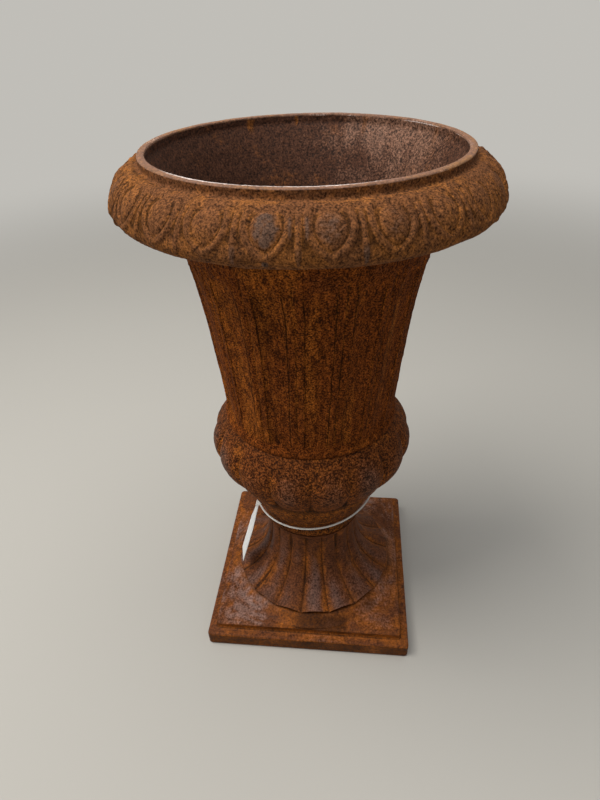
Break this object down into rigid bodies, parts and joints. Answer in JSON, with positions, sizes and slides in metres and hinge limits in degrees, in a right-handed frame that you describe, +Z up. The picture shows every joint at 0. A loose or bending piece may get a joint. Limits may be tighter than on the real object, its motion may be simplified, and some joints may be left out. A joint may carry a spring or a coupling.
{
  "type": "urn planter",
  "caption": "Classical bell-shaped urn planter in rusted cast iron, with a gadrooned belly, a fluted foot, a stepped square plinth and a blank swing tag.",
  "frame": {"origin": "centre of the plinth's underside", "axes": "+Z up, -Y the side that faces the picture's camera, +X to that camera's right"},
  "size_m": [0.3718, 0.3718, 0.62],
  "materials": {
    "foot_iron": "satin brown rust with orange valleys",
    "belly_iron": "brown rust with a dull purple sheen on the lobes",
    "bell_iron": "rough granular orange-brown rust",
    "fasteners": "dark rusted steel",
    "white_cord": "twisted white string",
    "white_card": "plain white card"
  },
  "bodies": {
    "urn": {"foot_casting": "foot_iron", "belly_casting": "belly_iron", "bell_casting": "bell_iron", "flange_bolt_1": "fasteners", "flange_bolt_2": "fasteners", "flange_bolt_3": "fasteners", "flange_bolt_4": "fasteners", "flange_nut_1": "fasteners", "flange_nut_2": "fasteners", "flange_nut_3": "fasteners", "flange_nut_4": "fasteners", "upper_washer": "fasteners", "tie_bolt": "fasteners", "lower_washer": "fasteners", "tie_nut": "fasteners"},
    "cord": {"tag_cord": "white_cord"},
    "tag": {"tag_tie": "white_cord", "tag_card": "white_card"}
  },
  "joints": [
    {"name": "cord_turn", "type": "hinge", "parent": "urn", "child": "cord", "pos_m": [0, 0, 0.174], "axis": [0, 0, 1], "continuous": true},
    {"name": "tag_swing", "type": "hinge", "parent": "cord", "child": "tag", "pos_m": [-0.07086, -0.02863, 0.174], "axis": [-0.3746, 0.9272, 0], "range_deg": [-12, 115]}
  ]
}
